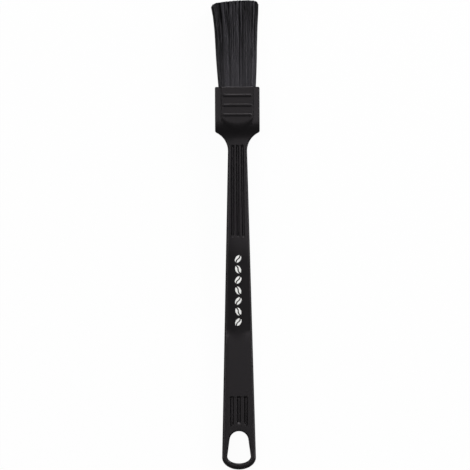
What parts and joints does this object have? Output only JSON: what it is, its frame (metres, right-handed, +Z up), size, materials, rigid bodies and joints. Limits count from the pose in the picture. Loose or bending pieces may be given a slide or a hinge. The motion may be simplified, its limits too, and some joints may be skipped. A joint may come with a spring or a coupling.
{
  "type": "cleaning brush",
  "caption": "Long slim moulded handle with a hanging eye at one end and, at the other, a flat socket that holds a wide, flat bundle of fine bristles.",
  "frame": {"origin": "on the surface that the brush lies on, below the centre of the hanging eye", "axes": "+Y from the hanging eye along the handle towards the bristles, +Z up out of the face that the picture shows, +X to the right of that face with the bristles up"},
  "size_m": [0.0218, 0.2106, 0.0105],
  "materials": {
    "black_plastic": "satin, finely textured moulding",
    "bristle": "fine straight filaments, slightly glossy",
    "cast_resin": "cast, glossy"
  },
  "bodies": {
    "root": {"handle": "black_plastic", "bristles": "bristle", "resin": "cast_resin"}
  },
  "joints": []
}
